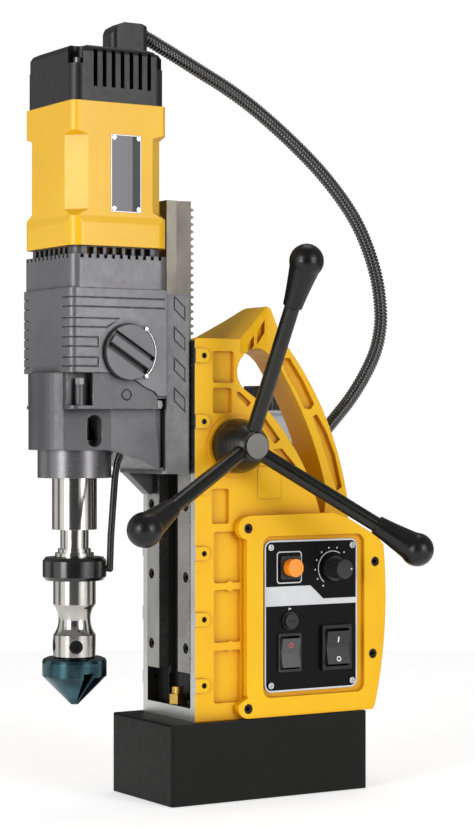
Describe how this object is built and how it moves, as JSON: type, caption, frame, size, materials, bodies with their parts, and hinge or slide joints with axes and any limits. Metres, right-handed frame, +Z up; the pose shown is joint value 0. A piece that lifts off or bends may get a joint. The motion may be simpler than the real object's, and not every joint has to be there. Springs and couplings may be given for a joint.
{
  "type": "magnetic drill press",
  "caption": "Magnetic drill press: block electromagnet, cast stand with carrying arch and control panel, and a motor, gearbox and spindle fed down a dovetail slide by a three-lever capstan.",
  "frame": {"origin": "centre of the magnet's underside, the face that rests on the work", "axes": "+Z up, -X towards the spindle, -Y towards the control panel and the capstan"},
  "size_m": [0.3622, 0.2652, 0.6667],
  "materials": {
    "magnet_core": "satin black enamel",
    "magnet_coil": "copper winding set in resin",
    "base_bolts": "blackened steel",
    "stand_housing": "yellow enamel over a fine cast surface; guide face machined bare",
    "guide_strips": "ground steel",
    "strip_screws": "blackened steel",
    "gib_screws": "blackened steel",
    "stop_screw": "plain brass",
    "pinion_bushes": "bearing bronze",
    "control_door": "yellow enamel",
    "door_screws": "blackened steel",
    "control_plate": "black film with white print",
    "plate_screws": "bright steel",
    "control_board": "circuit board",
    "button_body": "black plastic",
    "speed_control": "potentiometer body",
    "fuse_holder": "black plastic",
    "fuse_cap": "black plastic",
    "motor_switch": "black plastic",
    "magnet_switch": "black rubber surround",
    "coolant_bottle": "milky polyethylene",
    "bottle_cap": "ribbed black plastic",
    "bottle_bracket": "black enamel",
    "conduit_gland": "black nylon",
    "conduit": "black corrugated nylon",
    "carriage_plate": "grey textured paint on a casting",
    "gearcase_upper": "grey textured paint on cast aluminium",
    "gearcase_lower": "grey textured paint on cast aluminium",
    "nose_collar": "dark anodised",
    "motor_adapter": "grey textured paint on cast aluminium",
    "motor_housing": "yellow filled nylon",
    "motor_cap": "black filled nylon",
    "case_screws": "bright zinc",
    "cable_cover": "black filled nylon",
    "nameplate": "printed aluminium, text left out",
    "nameplate_rivets": "bright aluminium",
    "slide_rail": "ground steel",
    "rail_screws": "blackened steel",
    "feed_rack": "milled steel",
    "selector_clip": "bright spring wire",
    "coolant_pipe": "black tube",
    "coolant_ring": "black plastic",
    "stator": "laminations and windings",
    "bearings": "bearing steel",
    "spindle": "ground steel",
    "arbor": "bright turned steel",
    "arbor_screws": "blackened steel",
    "countersink": "blue-black coated tool steel",
    "armature": "laminations, windings, fan and cut pinion",
    "layshaft": "hardened steel",
    "capstan_hub": "black enamel",
    "capstan_cap": "grey turned steel",
    "pinion_shaft": "hardened steel",
    "lever_rods": "black oxide steel",
    "lever_grips": "black moulded grip",
    "selector_knob": "grey plastic",
    "reverse_button": "orange translucent plastic",
    "speed_dial": "black plastic with a white dot",
    "motor_rocker": "dark grey plastic",
    "magnet_rocker": "black rubber over the rocker"
  },
  "bodies": {
    "stand": {"magnet_core": "magnet_core", "magnet_coil": "magnet_coil", "base_bolts": "base_bolts", "stand_housing": "stand_housing", "guide_strips": "guide_strips", "strip_screws": "strip_screws", "gib_screws": "gib_screws", "stop_screw": "stop_screw", "pinion_bushes": "pinion_bushes", "control_door": "control_door", "door_screws": "door_screws", "control_plate": "control_plate", "plate_screws": "plate_screws", "control_board": "control_board", "button_body": "button_body", "speed_control": "speed_control", "fuse_holder": "fuse_holder", "fuse_cap": "fuse_cap", "motor_switch": "motor_switch", "magnet_switch": "magnet_switch", "coolant_bottle": "coolant_bottle", "bottle_cap": "bottle_cap", "bottle_bracket": "bottle_bracket", "conduit_gland": "conduit_gland", "conduit": "conduit"},
    "carriage": {"carriage_plate": "carriage_plate", "gearcase_upper": "gearcase_upper", "gearcase_lower": "gearcase_lower", "nose_collar": "nose_collar", "motor_adapter": "motor_adapter", "motor_housing": "motor_housing", "motor_cap": "motor_cap", "case_screws": "case_screws", "cable_cover": "cable_cover", "nameplate": "nameplate", "nameplate_rivets": "nameplate_rivets", "slide_rail": "slide_rail", "rail_screws": "rail_screws", "feed_rack": "feed_rack", "selector_clip": "selector_clip", "coolant_pipe": "coolant_pipe", "coolant_ring": "coolant_ring", "stator": "stator", "bearings": "bearings"},
    "spindle_set": {"spindle": "spindle", "arbor": "arbor", "arbor_screws": "arbor_screws", "countersink": "countersink"},
    "armature_set": {"armature": "armature"},
    "layshaft_set": {"layshaft": "layshaft"},
    "capstan": {"capstan_hub": "capstan_hub", "capstan_cap": "capstan_cap", "pinion_shaft": "pinion_shaft", "lever_rods": "lever_rods", "lever_grips": "lever_grips"},
    "selector": {"selector_knob": "selector_knob"},
    "button": {"reverse_button": "reverse_button"},
    "dial": {"speed_dial": "speed_dial"},
    "motor_toggle": {"motor_rocker": "motor_rocker"},
    "magnet_toggle": {"magnet_rocker": "magnet_rocker"}
  },
  "joints": [
    {"name": "feed_slide", "type": "slide", "parent": "stand", "child": "carriage", "axis": [0, 0, 1], "range_m": [-0.155, 0], "deforming": ["conduit"]},
    {"name": "capstan_turn", "type": "hinge", "parent": "stand", "child": "capstan", "pos_m": [-0.0344, 0, 0.3047], "axis": [0, 1, 0], "range_deg": [-360, 2]},
    {"name": "armature_spin", "type": "hinge", "parent": "carriage", "child": "armature_set", "pos_m": [-0.14488, 0, 0.48], "axis": [0, 0, 1], "continuous": true},
    {"name": "spindle_spin", "type": "hinge", "parent": "carriage", "child": "spindle_set", "pos_m": [-0.165, 0, 0.28], "axis": [0, 0, 1], "continuous": true},
    {"name": "layshaft_spin", "type": "hinge", "parent": "carriage", "child": "layshaft_set", "pos_m": [-0.12639, 0.01863, 0.38], "axis": [0, 0, 1], "continuous": true},
    {"name": "selector_turn", "type": "hinge", "parent": "carriage", "child": "selector", "pos_m": [-0.1383, -0.046, 0.3835], "axis": [0, 1, 0], "range_deg": [0, 120]},
    {"name": "button_press", "type": "slide", "parent": "stand", "child": "button", "axis": [0, 1, 0], "range_m": [0, 0.003], "stiffness_N_per_m": 400, "springref_m": -0.002},
    {"name": "dial_turn", "type": "hinge", "parent": "stand", "child": "dial", "pos_m": [0.0654, -0.056, 0.1965], "axis": [0, 1, 0], "range_deg": [0, 270]},
    {"name": "motor_switch_rock", "type": "hinge", "parent": "stand", "child": "motor_toggle", "pos_m": [0.01975, -0.0462, 0.12425], "axis": [1, 0, 0], "range_deg": [-9, 9]},
    {"name": "magnet_switch_rock", "type": "hinge", "parent": "stand", "child": "magnet_toggle", "pos_m": [0.068, -0.0462, 0.12675], "axis": [1, 0, 0], "range_deg": [-9, 9]}
  ],
  "couplings": [
    {"joint": "capstan_turn", "follows": "feed_slide", "rad_per_m": 40},
    {"joint": "layshaft_spin", "follows": "armature_spin", "ratio": -0.4},
    {"joint": "spindle_spin", "follows": "armature_spin", "ratio": 0.17647}
  ]
}
